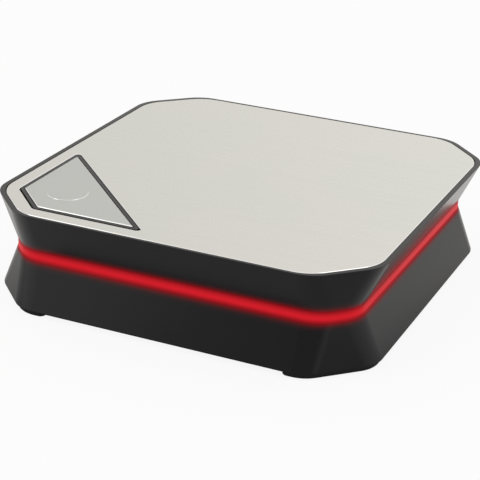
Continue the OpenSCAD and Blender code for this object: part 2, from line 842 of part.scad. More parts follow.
// Lights in rows along the four sides, and one at each corner cut
module band_lights() {
    low = waist_z + (band_h - led_h) / 2;
    bend = 2 * waist_r * tan(22.5);
    color("white") {
        for (turn = [0 : 3]) {
            reach = waist[turn % 2];
            length = 2 * (waist[1 - turn % 2] - waist_cut) - bend - led_w;
            steps = floor(length / led_step);
            rotate(90 * turn) for (k = [0 : steps])
                block(reach - lip_inner - led_t / 2, (k - steps / 2) * led_step, low, [led_t, led_w, led_h]);
        }
        for (x = [0, 1], y = [0, 1])
            mirror([x, 0, 0]) mirror([0, y, 0])
                translate([waist[0] - waist_cut / 2, waist[1] - waist_cut / 2, 0]) rotate(45)
                    block(-lip_inner - led_t / 2, 0, low, [led_t, led_w, led_h]);
    }
}

module main_board() {
    color(board_green) difference() {
        slab([
            [board_hw, board_front + board_cut], [board_hw, board_back - board_back_cut],
            [board_hw - board_back_cut, board_back], [board_back_cut - board_hw, board_back],
            [-board_hw, board_back - board_back_cut], [-board_hw, board_front + board_cut],
            [board_cut - board_hw, board_front], [board_hw - board_cut, board_front]
        ], board_under, board_top);
        for (p = board_spots)
            rod(p[0], p[1], board_under - past, board_top + past, small_screw_r + screw_gap);
    }
}

module board_screws() {
    color("gray") for (p = board_spots)
        translate([p[0], p[1], board_top]) screw(0, small_head_r, small_head_h, small_screw_r, small_screw_l);
}

module encoder_chip() {
    color(chip_grey) block(0, board_mid, board_top, [encoder_w, encoder_w, encoder_t]);
}

module heat_pad() {
    color("lightblue") block(0, board_mid, board_top + encoder_t, [encoder_w, encoder_w, pad_t]);
}

module heat_sink() {
    low = board_top + encoder_t + pad_t;
    step = (sink_w - fin_t) / (fin_count - 1);
    color("silver") {
        block(0, board_mid, low, [sink_w, sink_w, sink_base]);
        for (k = [0 : fin_count - 1])
            block((k - (fin_count - 1) / 2) * step, board_mid, low + sink_base / 2,
                [fin_t, sink_w, sink_base / 2 + fin_h]);
    }
}

// Chips that serve a socket lie in front of it
module socket_chip(x, w) {
    color(chip_grey) block(x, chip_row, board_top, [w, w, chip_t]);
}
module receiver_chip() { socket_chip(video_in_x, receiver_w); }
module output_chip() { socket_chip(video_out_x, output_w); }
module sound_chip() { socket_chip(audio_x, sound_w); }
module bridge_chip() { socket_chip(data_x - bridge_w / 4, bridge_w); }

// Memory beside the encoder, clear of the heat sink
module memory_chips() {
    color(chip_grey) for (side = [-1, 1])
        block(side_row, board_mid + side * (memory_l + chip_gap) / 2, board_top, [memory_w, memory_l, chip_t]);
}

module program_chip() {
    y = board_mid - memory_l - 2 * chip_gap - flash_w / 2;
    color(chip_grey) block(side_row, y, board_top, [flash_w, flash_w, chip_t]);
}

module crystals() {
    y = board_mid - sink_w / 2 - chip_gap - crystal_l / 2;
    color("silver") for (side = [-1, 1])
        block(side * (crystal_w + chip_gap), y, board_top, [crystal_w, crystal_l, chip_t]);
}

module power_coils() {
    color("darkslategray") for (k = [0, 1])
        block(power_x + coil_w / 2, chip_row - k * (coil_w + chip_gap), board_top, [coil_w, coil_w, coil_h]);
}

module capacitor_cans() {
    x = -sink_w / 2 - chip_gap - can_r;
    step = 2 * can_r + chip_gap;
    color("lightgray") for (k = [-1 : 1])
        rod(x, board_mid + k * step, board_top, board_top + can_h, can_r);
}

// Mouth of a sheet metal socket seen from behind, with its lower corners cut
function mouth(w, h, d) =
    let (cut = mouth_cut * h)
    [
        [-w / 2 + cut, d], [w / 2 - cut, d], [w / 2 - d, cut], [w / 2 - d, h - d],
        [-w / 2 + d, h - d], [-w / 2 + d, cut]
    ];

module rear_prism(x, points, from, to) {
    translate([x, to, board_top]) rotate([90, 0, 0]) linear_extrude(to - from) polygon(points);
}

module socket_shell(x, w, h, length) {
    color(nickel) difference() {
        rear_prism(x, mouth(w, h, 0), panel_face - length, panel_face);
        rear_prism(x, mouth(w, h, sheet_t), panel_face - length - past, panel_face + past);
    }
}

// Plastic block that closes the socket's back and carries the contact tongue
module socket_tongue(x, w, h, length) {
    back = panel_face - length;
    reach = length - tongue_in;
    color(black) {
        rear_prism(x, mouth(w, h, sheet_t), back, back + plug_t);
        block(x, back + reach / 2, board_top + (h - tongue_t) / 2, [tongue_share * w, reach, tongue_t]);
    }
}

module video_in_shell() { socket_shell(video_in_x, video_w, video_h, video_l); }
module video_in_tongue() { socket_tongue(video_in_x, video_w, video_h, video_l); }
module video_out_shell() { socket_shell(video_out_x, video_w, video_h, video_l); }
module video_out_tongue() { socket_tongue(video_out_x, video_w, video_h, video_l); }
module data_shell() { socket_shell(data_x, data_w, data_h, data_l); }
module data_tongue() { socket_tongue(data_x, data_w, data_h, data_l); }

module power_jack() {
    color(black) difference() {
        block(power_x, panel_face - power_l / 2, board_top, [power_w, power_l, power_h]);
        rear_rod(power_x, board_top + power_h / 2, panel_face - power_depth, panel_face + past, power_r);
    }
}

module power_pin() {
    color(nickel)
        rear_rod(power_x, board_top + power_h / 2, panel_face - power_depth, panel_face - tongue_in, pin_r);
}

module audio_jack() {
    middle = board_top + audio_h / 2;
    back = panel_face - audio_l;
    front = panel_back - panel_gap;
    color(black) difference() {
        union() {
            block(audio_x, (back + front) / 2, board_top, [audio_w, front - back, audio_h]);
            rear_rod(audio_x, middle, back + audio_l / 2, panel_face, nose_r);
        }
        rear_rod(audio_x, middle, panel_face - audio_depth, panel_face + past, audio_r);
    }
}

base_shell();
upper_shell();
light_band();
top_plate();
plate_adhesive();
rear_panel();
foot_front_left();
foot_front_right();
foot_rear_left();
foot_rear_right();
case_screws();
key_cap();
key_carrier();
key_board();
key_board_screws();
switch_body();
switch_plunger();
ribbon_cable();
ribbon_sockets();
light_strip();
band_lights();
main_board();
board_screws();
encoder_chip();
heat_pad();
heat_sink();
receiver_chip();
output_chip();
sound_chip();
bridge_chip();
memory_chips();
program_chip();
crystals();
power_coils();
capacitor_cans();
video_in_shell();
video_in_tongue();
video_out_shell();
video_out_tongue();
data_shell();
data_tongue();
power_jack();
power_pin();
audio_jack();
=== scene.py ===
# %% [markdown]
# A video capture box
#
# The real object is a square box with cut corners. Two black plastic halves flare out from a red
# light band at the waist, a brushed metal plate lies in the rim, and one large metal key fills a
# corner of it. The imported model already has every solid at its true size. This lesson dresses that
# model: nodes whose shape is right keep it and get a finish, and the pieces that show most get
# finer copies of themselves.

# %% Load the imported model
import json
import math

import bmesh
import bpy
from mathutils import Matrix, Vector


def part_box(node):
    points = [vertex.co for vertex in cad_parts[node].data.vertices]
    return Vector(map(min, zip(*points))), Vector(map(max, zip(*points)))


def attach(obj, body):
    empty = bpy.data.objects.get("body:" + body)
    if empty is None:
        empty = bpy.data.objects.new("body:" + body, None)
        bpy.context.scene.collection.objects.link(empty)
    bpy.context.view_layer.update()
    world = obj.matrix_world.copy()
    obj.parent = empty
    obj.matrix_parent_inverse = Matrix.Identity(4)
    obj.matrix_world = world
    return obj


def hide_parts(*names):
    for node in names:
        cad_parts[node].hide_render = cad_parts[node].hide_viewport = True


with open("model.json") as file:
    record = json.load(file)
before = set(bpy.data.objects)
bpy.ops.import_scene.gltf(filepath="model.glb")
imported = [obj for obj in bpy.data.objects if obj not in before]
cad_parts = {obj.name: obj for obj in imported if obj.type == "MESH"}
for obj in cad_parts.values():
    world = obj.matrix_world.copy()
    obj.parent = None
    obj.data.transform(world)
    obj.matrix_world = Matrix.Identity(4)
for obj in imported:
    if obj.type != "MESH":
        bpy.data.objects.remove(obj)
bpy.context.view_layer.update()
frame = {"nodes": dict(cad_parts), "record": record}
print("nodes in the packed model:", len(frame["nodes"]))

# %% [markdown]
# The camera
#
# The picture is taken from the front right, about half a metre away, with a long lens that keeps
# the sides nearly parallel. A Track To constraint could aim the camera, but it would lose the
# slight tilt of the picture. So the three axes of the camera are worked out here and written into
# its matrix.

# %% Place the camera
mm = 0.001
camera_place = Vector((205.273, -476.253, 232.507)) * mm
camera_aim = Vector((4.528, -16.245, 18.130)) * mm
camera_tilt = math.radians(2.038)

back = (camera_place - camera_aim).normalized()
level = Vector((0, 0, 1)).cross(back).normalized()
right = level * math.cos(camera_tilt) + back.cross(level) * math.sin(camera_tilt)
upward = back.cross(right)
axes = Matrix((right, upward, back)).transposed()

lens = bpy.data.cameras.new("picture_camera")
lens.sensor_width = 36
lens.lens = 117.61
lens.clip_start = 0.01
lens.clip_end = 30
camera = bpy.data.objects.new("picture_camera", lens)
camera.matrix_world = Matrix.Translation(camera_place) @ axes.to_4x4()
bpy.context.scene.collection.objects.link(camera)
bpy.context.scene.camera = camera
print("camera distance in metres:", round((camera_place - camera_aim).length, 4))

# %% [markdown]
# Writing node trees as sums
#
# Every finish below is a small node tree. Nodes could be made and linked one by one, which takes
# four or five lines each. Two short classes keep the maths readable instead. A Wire is one output
# socket, and sums on it add Math nodes. A Tree has one method that makes any node, sets its
# settings first, and then fills its sockets with values or wires. Both work in shader trees and in
# Geometry Nodes trees. Three more methods name what shader trees need often.

# %% Wires and trees


class Wire:
    """One output socket that can take part in sums."""

    def __init__(self, tree, socket):
        self.tree = tree
        self.socket = socket

    def reckon(self, operation, first, second=0.0):
        return self.tree.node("ShaderNodeMath", {"operation": operation}, {0: first, 1: second})

    def __add__(self, other):
        return self.reckon("ADD", self, other)

    def __radd__(self, other):
        return self.reckon("ADD", other, self)

    def __sub__(self, other):
        return self.reckon("SUBTRACT", self, other)

    def __rsub__(self, other):
        return self.reckon("SUBTRACT", other, self)

    def __mul__(self, other):
        return self.reckon("MULTIPLY", self, other)

    def __rmul__(self, other):
        return self.reckon("MULTIPLY", other, self)

    def __truediv__(self, other):
        return self.reckon("DIVIDE", self, other)

    def __rtruediv__(self, other):
        return self.reckon("DIVIDE", other, self)

    def above(self, other):
        return self.reckon("GREATER_THAN", self, other)

    def at_most(self, other):
        return self.reckon("MINIMUM", self, other)

    def at_least(self, other):
        return self.reckon("MAXIMUM", self, other)

    def exponent(self):
        return self.reckon("EXPONENT", self)


class Tree:
    """A node tree with one method for every kind of node."""

    def __init__(self, node_tree):
        self.nodes = node_tree.nodes
        self.links = node_tree.links

    def node(self, kind, settings=None, sockets=None, out=0):
        made = self.nodes.new(kind)
        for name, value in (settings or {}).items():
            setattr(made, name, value)
        for key, value in (sockets or {}).items():
            self.feed(made.inputs[key], value)
        return Wire(self, made.outputs[out])

    def feed(self, socket, value):
        if isinstance(value, Wire):
            self.links.new(value.socket, socket)
        else:
            socket.default_value = value

    def axis(self, vector, letter):
        return self.node("ShaderNodeSeparateXYZ", sockets={0: vector}, out=letter)

    def smooth_step(self, value, low, high):
        reach = {"Value": value, "From Min": low, "From Max": high}
        return self.node("ShaderNodeMapRange", {"interpolation_type": "SMOOTHSTEP"}, reach)

    def blend(self, share, first, second):
        return self.node("ShaderNodeMixShader", sockets={0: share, 1: first, 2: second})


print("node helpers ready")

# %% [markdown]
# What all finishes share
#
# A finish is a material with one Principled shader. It reads Object coordinates, which are metres
# in the frame of the model, so a grain of half a millimetre is the same size on every piece. A
# noise, a blend of two colours and a bump come up in nearly every finish, so each has a short
# method here. Metal edges that are cut bright could get a material of their own, but the slope of
# the surface already tells them apart: the Geometry node's true normal has a smaller Z there.

# %% The finish class
even = (1.0, 1.0, 1.0)


class Finish(Tree):
    """A material whose Principled shader is filled by socket name."""

    least_lean = 0.35
    most_lean = 0.97

    def __init__(self, name):
        self.material = bpy.data.materials.new(name)
        self.material.use_nodes = True
        super().__init__(self.material.node_tree)
        self.shader = self.nodes["Principled BSDF"]
        self.place = self.node("ShaderNodeTexCoord", out="Object")

    def fill(self, **sockets):
        for name, value in sockets.items():
            self.feed(self.shader.inputs[name.replace("_", " ")], value)

    def noise(self, scale, detail, stretch=even):
        spot = self.node("ShaderNodeMapping", sockets={"Vector": self.place, "Scale": stretch})
        sockets = {"Vector": spot, "Scale": scale, "Detail": detail}
        return self.node("ShaderNodeTexNoise", sockets=sockets)

    def mix(self, share, first, second):
        sockets = {0: share, 6: first, 7: second}
        return self.node("ShaderNodeMix", {"data_type": "RGBA"}, sockets, 2)

    def bump(self, height, strength, depth):
        sockets = {"Height": height, "Strength": strength, "Distance": depth}
        return self.node("ShaderNodeBump", sockets=sockets)

    def cut_edges(self):
        normal = self.node("ShaderNodeNewGeometry", out="True Normal")
        lean = self.axis(normal, "Z")
        return lean.above(self.least_lean) - lean.above(self.most_lean)


def colour(red, green, blue):
    return (red, green, blue, 1.0)


def grey(value):
    return colour(value, value, value)


finishes = {}
print("finish class ready")

# %% [markdown]
# The room
#
# Plain soft studio light needs a pale room. The eye sees the room as white, by the Light Path node,
# while the light that falls on the box comes from a slightly dimmer room. In mirror reflections the
# room is pale as well, but a little dimmer towards the left, as in a studio that has its window
# side at the right. That slope shades the metal plate from left to right. One soft patch low in
# front is dimmer still, as it is where the photographer stands, and it deepens the black of the
# front wall. A picture of a studio could light the box too, but this way each share of the light is
# a plain number.

# %% Room
white = grey(1.0)
room_light = 0.80
mirror_tint = colour(1.0, 0.980, 0.945)
mirror_middle = 1.08
mirror_slope = 0.48
mirror_least = 0.83
mirror_most = 1.0
patch_middle = (0.205, -0.963, 0.174)
patch_edge = math.cos(math.radians(46))
patch_core = math.cos(math.radians(26))
patch_least = 0.42


def ray(tree, kind):
    return tree.node("ShaderNodeLightPath", out=kind)


def seen_by_eye(tree):
    return (ray(tree, "Is Camera Ray") + ray(tree, "Is Transmission Ray")).at_most(1.0)


world = bpy.data.worlds.new("pale_room")
world.use_nodes = True
bpy.context.scene.world = world
room = Tree(world.node_tree)


def backdrop(tint, strength):
    return room.node("ShaderNodeBackground", sockets={"Color": tint, "Strength": strength})


direction = room.node("ShaderNodeTexCoord", out="Generated")
mirror_side = mirror_middle + room.axis(direction, "X") * mirror_slope
mirror_open = mirror_side.at_least(mirror_least).at_most(mirror_most)
patch_aim = {0: direction, 1: patch_middle}
patch_turn = {"operation": "DOT_PRODUCT"}
towards_patch = room.node("ShaderNodeVectorMath", patch_turn, patch_aim, "Value")
patch_share = room.smooth_step(towards_patch, patch_edge, patch_core)
mirror_light = mirror_open * (1.0 - patch_share * (1.0 - patch_least))
room_mirror = room.blend(mirror_light, backdrop(mirror_tint, 0.0), backdrop(mirror_tint, 1.0))
room_plain = room.blend(seen_by_eye(room), backdrop(white, room_light), backdrop(white, 1.0))
room_all = room.blend(ray(room, "Is Glossy Ray"), room_plain, room_mirror)
room.feed(room.nodes["World Output"].inputs["Surface"], room_all)
print("room nodes:", len(room.nodes))

# %% [markdown]
# The floor
#
# The box stands on plain white paper. The eye sees it nearly white, and the share that is left of
# its own colour keeps the shadow of the box. In mirror reflections the paper is dimmer in front of
# the box and pale behind it and at its left, which gives the walls their soft change from dark to
# light. A dark card laid in front could do the same, but its edges would show in the glossy walls.

# %% Floor
floor_half = 4.0
paper_grey = 0.90
eye_share = 0.90
mirror_share = 0.70
mirror_dim = 0.42
mirror_pale = 0.88
paper_front = -0.10
paper_back = 0.09
side_near = 0.03
side_far = 0.16

paper = bpy.data.materials.new("floor_paper")
paper.use_nodes = True
sheet = Tree(paper.node_tree)


def shine(tint, strength):
    return sheet.node("ShaderNodeEmission", sockets={"Color": tint, "Strength": strength})


sheet_spot = sheet.node("ShaderNodeTexCoord", out="Object")
open_behind = sheet.smooth_step(sheet.axis(sheet_spot, "Y"), paper_front, paper_back)
open_left = sheet.smooth_step(0.0 - sheet.axis(sheet_spot, "X"), side_near, side_far)
sheet_open = open_behind.at_least(open_left)
sheet_mirror = sheet.blend(sheet_open, shine(mirror_tint, mirror_dim), shine(mirror_tint, mirror_pale))
sheet_plain = sheet.node("ShaderNodeBsdfDiffuse", sockets={"Color": grey(paper_grey)})
sheet_seen = sheet.blend(seen_by_eye(sheet) * eye_share, sheet_plain, shine(white, 1.0))
sheet_all = sheet.blend(ray(sheet, "Is Glossy Ray") * mirror_share, sheet_seen, sheet_mirror)
sheet.feed(sheet.nodes["Material Output"].inputs["Surface"], sheet_all)

floor_signs = [(-1, -1), (1, -1), (1, 1), (-1, 1)]
floor_corners = [(x * floor_half, y * floor_half, 0) for x, y in floor_signs]
floor_mesh = bpy.data.meshes.new("floor")
floor_mesh.from_pydata(floor_corners, [], [(0, 1, 2, 3)])
floor_mesh.materials.append(paper)
floor = bpy.data.objects.new("floor", floor_mesh)
bpy.context.scene.collection.objects.link(floor)
print("floor is", 2 * floor_half, "metres wide")

# %% [markdown]
# Softboxes
#
# Three softboxes do what a product photographer would do. One above the left makes the bright line
# along the key's front bevel, one above the right lights the cut edge of the plate at the front
# right corner, and one at the left brightens the left end of the front wall. Point lamps would make
# small hard spots in the metal instead. Each watt figure follows from how bright the softbox should
# look, so that a wider one doesn't look brighter.

# %% Softboxes


def softbox(name, place, width, height, brightness):
    lamp = bpy.data.lights.new(name, "AREA")
    lamp.shape = "RECTANGLE"
    lamp.size = width
    lamp.size_y = height
    lamp.energy = brightness * math.pi * width * height
    holder = bpy.data.objects.new(name, lamp)
    holder.location = place
    holder.rotation_mode = "QUATERNION"
    holder.rotation_quaternion = (camera_aim - Vector(place)).to_track_quat("-Z", "Y")
    holder.visible_camera = False
    bpy.context.scene.collection.objects.link(holder)
    print(name, "watts:", round(lamp.energy, 2))


softbox("softbox_above_left", (-0.64, -0.42, 0.78), width=0.32, height=0.34, brightness=0.9)
softbox("softbox_above_right", (0.52, -0.04, 0.78), width=0.36, height=0.36, brightness=0.6)
softbox("softbox_left", (-0.91, -0.48, 0.26), width=1.60, height=0.46, brightness=0.5)

bpy.context.scene.view_settings.view_transform = "Standard"

# %% [markdown]
# Black plastic, lit red at the waist
#
# Both halves of the case are moulded in satin black plastic. Its colour hardly varies, so what
# shows is the soft sheen at low angles and the red light that spreads from the band over the
# plastic next to it. A lamp inside could make that spread, but it would need a translucent plastic
# and many samples. The glow is instead a bell curve on the height, fed to the emission colour. It
# reaches further up than down, as on the real box. Where it is strong, the grey sheen of the
# surface fades, so a Mix Shader turns to a plain glow there.

# %% Black plastic
glow_middle = 18.95 * mm
glow_below = 1.70 * mm
glow_above = 2.22 * mm
glow_red = colour(0.600, 0.0095, 0.0180)
black_deep = colour(0.0058, 0.0058, 0.0070)
black_pale = colour(0.0083, 0.0083, 0.0097)
fade_gain = 2.2
fade_most = 0.75


def band_glow(finish):
    away = finish.axis(finish.place, "Z") - glow_middle
    reach = glow_below + away.above(0.0) * (glow_above - glow_below)
    share = away / reach
    return (0.0 - share * share).exponent()


black = Finish("satin_black_plastic")
black_cloud = black.noise(scale=35.0, detail=3.0)
black_grain = black.noise(scale=2600.0, detail=2.0)
black_share = band_glow(black)
black_red = black.mix(black_share, grey(0.0), glow_red)
black.fill(
    Base_Color=black.mix(black_cloud, black_deep, black_pale),
    Roughness=0.14 + black_cloud * 0.05 + black_grain * 0.03,
    Specular_IOR_Level=0.24,
    Emission_Color=black_red,
    Emission_Strength=1.0,
    Normal=black.bump(black_grain, strength=0.10, depth=0.02 * mm),
)
black_sheen = Wire(black, black.shader.outputs[0])
glow_sockets = {"Base Color": grey(0.0), "Roughness": 1.0, "Specular IOR Level": 0.0}
glow_sockets.update({"Emission Color": black_red, "Emission Strength": 1.0})
black_glow = black.node("ShaderNodeBsdfPrincipled", sockets=glow_sockets)
black_all = black.blend((black_share * fade_gain).at_most(fade_most), black_sheen, black_glow)
black.feed(black.nodes["Material Output"].inputs["Surface"], black_all)
finishes["black_plastic"] = black
print("black plastic nodes:", len(black.nodes))

# %% [markdown]
# Brushed metal of the plate
#
# The plate is aluminium, brushed along the front edge and anodised clear. Anisotropy on the shader
# would smear its highlight, but the strokes would not show. Here they are a noise stretched along
# X, which shifts colour, roughness and bump together. A second, broad noise gives the faint warm
# and cool patches that anodising leaves. The edge of the plate is cut bright, so it is paler and
# smoother there.

# %% Plate metal
cut_metal = grey(0.84)
plate_cool = colour(0.706, 0.735, 0.688)
plate_warm = colour(0.752, 0.726, 0.698)

plate = Finish("brushed_plate_metal")
plate_stroke = plate.noise(scale=420.0, detail=3.0, stretch=(0.008, 1.0, 1.0))
plate_patch = plate.noise(scale=22.0, detail=1.0)
plate_cut = plate.cut_edges()
plate_tint = plate.mix(plate_patch, plate_cool, plate_warm)
plate_brushed = plate.mix(plate_stroke * 0.05, plate_tint, grey(0.30))
plate.fill(
    Base_Color=plate.mix(plate_cut, plate_brushed, cut_metal),
    Metallic=1.0,
    Roughness=0.24 + plate_stroke * 0.08 - plate_cut * 0.12,
    Normal=plate.bump(plate_stroke, strength=0.02, depth=0.02 * mm),
)
finishes["plate_metal"] = plate
print("plate metal nodes:", len(plate.nodes))

# %% [markdown]
# Satin metal of the key
#
# The key's face is a little darker than the plate and blasted to a fine satin. Its bevel and the
# edge of its thumb pad are cut afterwards with a bright tool. The fine blasting could be modelled,
# but its pits are far smaller than a pixel, so a noise on roughness and bump stands for them.

# %% Key metal
key_dark = colour(0.566, 0.586, 0.568)
key_pale = colour(0.580, 0.596, 0.576)

key_metal = Finish("satin_key_metal")
key_fleck = key_metal.noise(scale=3200.0, detail=2.0)
key_patch = key_metal.noise(scale=40.0, detail=1.0)
key_cut = key_metal.cut_edges()
key_metal.fill(
    Base_Color=key_metal.mix(key_cut, key_metal.mix(key_patch, key_dark, key_pale), cut_metal),
    Metallic=1.0,
    Roughness=0.30 + key_fleck * 0.06 - key_cut * 0.14,
    Normal=key_metal.bump(key_fleck, strength=0.05, depth=0.01 * mm),
)
finishes["key_metal"] = key_metal
print("key metal nodes:", len(key_metal.nodes))

# %% [markdown]
# Red diffuser
#
# The band is milky red plastic with lights behind it. It could be lit by real lamps inside, but the
# picture shows no single lights. So it glows most at its middle height, by the same bell curve that
# spreads over the black halves, and the light runs on across the seams without a step.

# %% Red diffuser
diffuser_deep = colour(0.030, 0.002, 0.003)
diffuser_pale = colour(0.040, 0.002, 0.004)

diffuser = Finish("milky_red_diffuser")
diffuser_cloud = diffuser.noise(scale=60.0, detail=2.0)
diffuser_share = band_glow(diffuser) * (0.97 + diffuser_cloud * 0.06)
diffuser.fill(
    Base_Color=diffuser.mix(diffuser_cloud, diffuser_deep, diffuser_pale),
    Roughness=0.30 + diffuser_cloud * 0.08,
    Specular_IOR_Level=0.05,
    Emission_Color=diffuser.mix(diffuser_share, grey(0.0), glow_red),
    Emission_Strength=1.0,
)
finishes["red_diffuser"] = diffuser
print("diffuser nodes:", len(diffuser.nodes))

# %% [markdown]
# The plainer finishes
#
# Rubber, screw steel, nickel, circuit board and the other small pieces differ in colour, gloss and
# grain, but not in kind: a noise blends two close tones, moves the roughness and raises a fine
# bump. Each could be a cell of its own. One function makes them all instead, and each call names
# the slot, the real material, its two tones, how fine its grain is and its least roughness.

# %% Small finishes
rubber_tones = (0.008, 0.008, 0.008), (0.016, 0.016, 0.016)
film_tones = (0.70, 0.70, 0.67), (0.80, 0.80, 0.77)
sink_tones = (0.54, 0.54, 0.54), (0.66, 0.66, 0.66)
nickel_tones = (0.50, 0.50, 0.48), (0.60, 0.60, 0.58)
gold_tones = (0.70, 0.46, 0.15), (0.84, 0.58, 0.22)


def speckled(slot, name, dark, pale, scale, rough, metal=0.0, gloss=0.5, relief=0.05, stretch=even):
    finish = Finish(name)
    fleck = finish.noise(scale, detail=3.0, stretch=stretch)
    finish.fill(
        Base_Color=finish.mix(fleck, colour(*dark), colour(*pale)),
        Roughness=rough + fleck * 0.10,
        Metallic=metal,
        Specular_IOR_Level=gloss,
        Normal=finish.bump(fleck, strength=relief, depth=0.03 * mm),
    )
    finishes[slot] = finish
    return finish


speckled("foot_rubber", "foot_rubber", *rubber_tones, 1800, 0.70, gloss=0.25, relief=0.2)
speckled("screw_steel", "dark_screw_steel", (0.14, 0.14, 0.15), (0.24, 0.24, 0.24), 900, 0.30, metal=1.0)
speckled("adhesive", "bonding_sheet", (0.10, 0.10, 0.10), (0.14, 0.14, 0.14), 700, 0.60)
speckled("board_laminate", "green_board", (0.006, 0.070, 0.026), (0.014, 0.105, 0.042), 420, 0.32)
speckled("chip_plastic", "chip_moulding", (0.018, 0.018, 0.020), (0.032, 0.032, 0.035), 2200, 0.50)
speckled("switch_plastic", "switch_moulding", (0.15, 0.075, 0.032), (0.21, 0.105, 0.048), 900, 0.40)
speckled("cable_film", "flat_cable_film", *film_tones, 1500, 0.35, stretch=(1, 12, 12))
speckled("socket_plastic", "ivory_socket_moulding", (0.64, 0.60, 0.49), (0.74, 0.70, 0.59), 700, 0.42)
speckled("strip_film", "amber_circuit_film", (0.44, 0.23, 0.04), (0.56, 0.31, 0.06), 500, 0.35)
speckled("pad_rubber", "heat_pad_rubber", (0.21, 0.35, 0.44), (0.29, 0.45, 0.56), 900, 0.65)
speckled("sink_metal", "extruded_metal", *sink_tones, 500, 0.34, metal=1.0, stretch=(1, 20, 1))
speckled("coil_ferrite", "coil_ferrite", (0.045, 0.045, 0.048), (0.075, 0.075, 0.082), 1500, 0.55)
speckled("socket_steel", "nickel_plate", *nickel_tones, 600, 0.24, metal=1.0, stretch=(1, 8, 1))
speckled("jack_plastic", "jack_moulding", (0.014, 0.014, 0.014), (0.024, 0.024, 0.025), 1800, 0.30)
speckled("contact_gold", "contact_gold", *gold_tones, 1200, 0.22, metal=1.0)
lamp_lens = speckled("light_lens", "lit_lens", (0.75, 0.22, 0.22), (0.85, 0.28, 0.28), 900, 0.25)
lamp_lens.fill(Emission_Color=colour(0.80, 0.10, 0.10), Emission_Strength=1.0)
print("finishes:", sorted(finishes))

# %% [markdown]
# Carried-over nodes
#
# Every node keeps its CAD shape unless a piece below replaces it. Each node could be given its
# finish by name, but the record already says which material slot it belongs to. So one loop gives
# all of them the finish of that slot.

# %% Finish every node
slot_of = {row["node"]: row["material_slot"] for row in frame["record"]["subparts"]}
for node_name, node_object in frame["nodes"].items():
    node_finish = finishes[slot_of[node_name]]
    if not node_object.material_slots:
        node_object.data.materials.append(node_finish.material)
    for material_slot in node_object.material_slots:
        material_slot.material = node_finish.material
print("nodes with a finish:", len(slot_of))

# %% [markdown]
# Finer copies of the pieces that show
#
# A CAD mesh is loose triangles with knife edges. A moulded or cut edge is never that sharp, and the
# thin light line along it is what tells plastic from metal. So a copy is merged, its flat triangles
# are joined, and the chosen edges are bevelled. A Bevel modifier would take every edge of a complex
# shell, so the bevel runs in bmesh on edges picked by a rule. Weighted normals keep the large faces
# flat beside the small bevels.

# %% Helpers for copies
merge_reach = 0.002 * mm
height_slack = 0.02 * mm
flat_angle = math.radians(0.3)
bevel_angle = math.radians(25)
smooth_angle = math.radians(30)


def merged_copy(node_name):
    shape = bmesh.new()
    shape.from_mesh(frame["nodes"][node_name].data)
    bmesh.ops.remove_doubles(shape, verts=shape.verts, dist=merge_reach)
    bmesh.ops.dissolve_limit(shape, angle_limit=flat_angle, verts=shape.verts, edges=shape.edges)
    return shape


def is_sharp(edge):
    return len(edge.link_faces) == 2 and edge.calc_face_angle() > bevel_angle


def soften(shape, width, steps, chosen):
    picked = [edge for edge in shape.edges if is_sharp(edge) and chosen(edge)]
    bmesh.ops.bevel(
        shape,
        geom=picked,
        offset=width,
        offset_type="OFFSET",
        segments=steps,
        profile=0.5,
        affect="EDGES",
        clamp_overlap=True,
    )
    return len(picked)


def at_height(height):
    return lambda edge: all(abs(point.co.z - height) < height_slack for point in edge.verts)


def any_edge(edge):
    return True


def shade_smooth(mesh):
    mesh.polygons.foreach_set("use_smooth", [True] * len(mesh.polygons))
    mesh.set_sharp_from_angle(angle=smooth_angle)


def make_piece(name, shape, slot):
    shape.verts.index_update()
    points = [point.co.copy() for point in shape.verts]
    faces = [[point.index for point in face.verts] for face in shape.faces]
    shape.free()
    mesh = bpy.data.meshes.new(name)
    mesh.from_pydata(points, [], faces)
    shade_smooth(mesh)
    mesh.materials.append(finishes[slot].material)
    piece = bpy.data.objects.new(name, mesh)
    bpy.context.scene.collection.objects.link(piece)
    weights = piece.modifiers.new("weighted normals", "WEIGHTED_NORMAL")
    weights.keep_sharp = True
    return piece


def dress(piece, body, slot, *nodes):
    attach(piece, body)
    if nodes:
        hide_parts(*nodes)
    print(piece.name, "faces:", len(piece.data.polygons))


print("copy helpers ready")

# %% [markdown]
# The two halves of the case
#
# Each half is a hollow moulding that flares away from the waist. It could be built again from its
# outlines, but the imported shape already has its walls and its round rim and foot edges. Only the
# edges that meet the light band get a small bevel, which makes the fine dark seam on each side of
# the light.

# %% Case halves
waist_low = 18.0 * mm
waist_high = 21.0 * mm
seam_bevel = 0.18 * mm

base_shape = merged_copy("base_shell")
base_picked = soften(base_shape, seam_bevel, steps=2, chosen=at_height(waist_low))
base_piece = make_piece("base_half", base_shape, "black_plastic")
dress(base_piece, "case", "black_plastic", "base_shell")

upper_shape = merged_copy("upper_shell")
upper_picked = soften(upper_shape, seam_bevel, steps=2, chosen=at_height(waist_high))
upper_piece = make_piece("upper_half", upper_shape, "black_plastic")
dress(upper_piece, "case", "black_plastic", "upper_shell")
print("bevelled waist edges:", base_picked, upper_picked)
